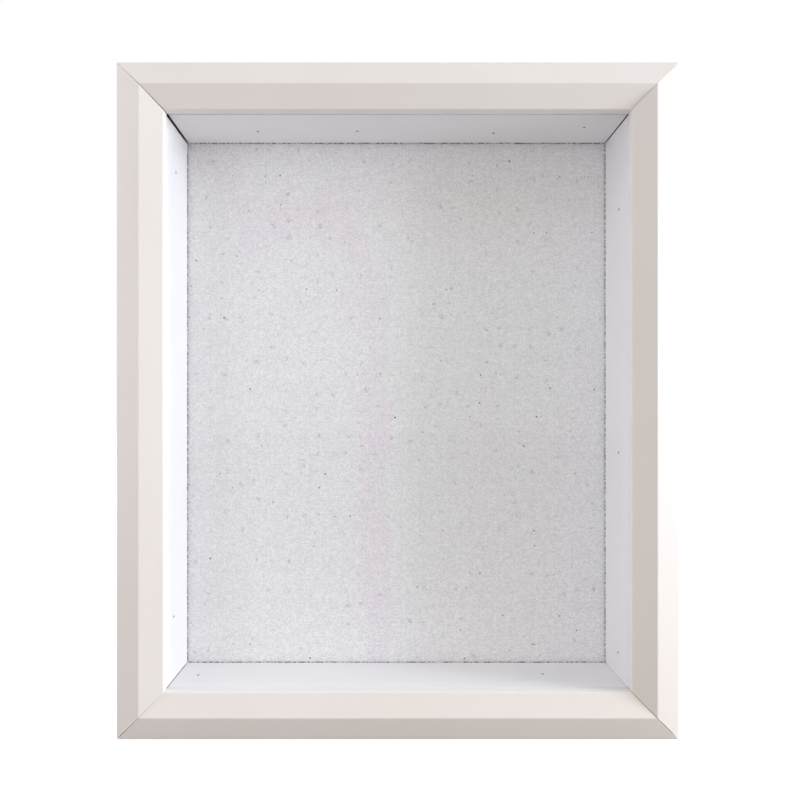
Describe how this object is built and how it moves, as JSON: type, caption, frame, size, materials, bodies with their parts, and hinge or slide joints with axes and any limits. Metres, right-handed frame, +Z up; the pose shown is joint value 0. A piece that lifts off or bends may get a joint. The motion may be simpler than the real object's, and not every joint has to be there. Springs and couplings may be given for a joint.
{
  "type": "shadow box",
  "caption": "Rear-loading shadow box with a bevelled white mitred frame, glazed window, deep mitred liner and a linen-covered board held by turn buttons.",
  "frame": {"origin": "middle of the underside of the bottom rail, halfway between the crest and the back face of the rails", "axes": "+Z up, +Y towards the wall behind the box, so the window faces -Y, and +X to the right as seen from the front"},
  "size_m": [0.25, 0.0543, 0.301],
  "materials": {
    "white_lacquer": "warm white satin lacquer over wood",
    "liner_white": "cool white satin paint over wood",
    "clear_glass": "clear picture glass",
    "linen": "plain-woven natural white linen",
    "board_core": "matt grey board",
    "hardboard": "smooth brown hardboard",
    "zinc_plate": "bright zinc plate",
    "steel_fasteners": "plain steel",
    "bumper_rubber": "translucent soft polyurethane"
  },
  "bodies": {
    "frame": {"frame_rail_top": "white_lacquer", "frame_rail_bottom": "white_lacquer", "frame_rail_left": "white_lacquer", "frame_rail_right": "white_lacquer", "corner_v_nails": "steel_fasteners", "glass_pane": "clear_glass", "liner_top": "liner_white", "liner_bottom": "liner_white", "liner_left": "liner_white", "liner_right": "liner_white", "liner_brads": "steel_fasteners", "turn_button_screws": "steel_fasteners", "sawtooth_hanger_top": "zinc_plate", "sawtooth_hanger_side": "zinc_plate", "hanger_nails": "steel_fasteners", "wall_bumpers": "bumper_rubber"},
    "back": {"linen_cover": "linen", "display_board": "board_core", "backing_panel": "hardboard"},
    "turn_button_top_left": {"turn_button_top_left": "zinc_plate"},
    "turn_button_top_right": {"turn_button_top_right": "zinc_plate"},
    "turn_button_bottom_left": {"turn_button_bottom_left": "zinc_plate"},
    "turn_button_bottom_right": {"turn_button_bottom_right": "zinc_plate"},
    "turn_button_left_upper": {"turn_button_left_upper": "zinc_plate"},
    "turn_button_left_lower": {"turn_button_left_lower": "zinc_plate"},
    "turn_button_right_upper": {"turn_button_right_upper": "zinc_plate"},
    "turn_button_right_lower": {"turn_button_right_lower": "zinc_plate"}
  },
  "joints": [
    {"name": "back_lift_out", "type": "slide", "parent": "frame", "child": "back", "axis": [0, 1, 0], "range_m": [0, 0.1]},
    {"name": "button_top_left_turn", "type": "hinge", "parent": "frame", "child": "turn_button_top_left", "pos_m": [-0.055, 0.0262, 0.2935], "axis": [0, -1, 0], "range_deg": [0, 180]},
    {"name": "button_top_right_turn", "type": "hinge", "parent": "frame", "child": "turn_button_top_right", "pos_m": [0.055, 0.0262, 0.2935], "axis": [0, 1, 0], "range_deg": [0, 180]},
    {"name": "button_bottom_left_turn", "type": "hinge", "parent": "frame", "child": "turn_button_bottom_left", "pos_m": [-0.055, 0.0262, 0.0075], "axis": [0, 1, 0], "range_deg": [0, 180]},
    {"name": "button_bottom_right_turn", "type": "hinge", "parent": "frame", "child": "turn_button_bottom_right", "pos_m": [0.055, 0.0262, 0.0075], "axis": [0, -1, 0], "range_deg": [0, 180]},
    {"name": "button_left_upper_turn", "type": "hinge", "parent": "frame", "child": "turn_button_left_upper", "pos_m": [-0.1175, 0.0262, 0.2255], "axis": [0, 1, 0], "range_deg": [0, 180]},
    {"name": "button_left_lower_turn", "type": "hinge", "parent": "frame", "child": "turn_button_left_lower", "pos_m": [-0.1175, 0.0262, 0.0755], "axis": [0, -1, 0], "range_deg": [0, 180]},
    {"name": "button_right_upper_turn", "type": "hinge", "parent": "frame", "child": "turn_button_right_upper", "pos_m": [0.1175, 0.0262, 0.2255], "axis": [0, -1, 0], "range_deg": [0, 180]},
    {"name": "button_right_lower_turn", "type": "hinge", "parent": "frame", "child": "turn_button_right_lower", "pos_m": [0.1175, 0.0262, 0.0755], "axis": [0, 1, 0], "range_deg": [0, 180]}
  ]
}
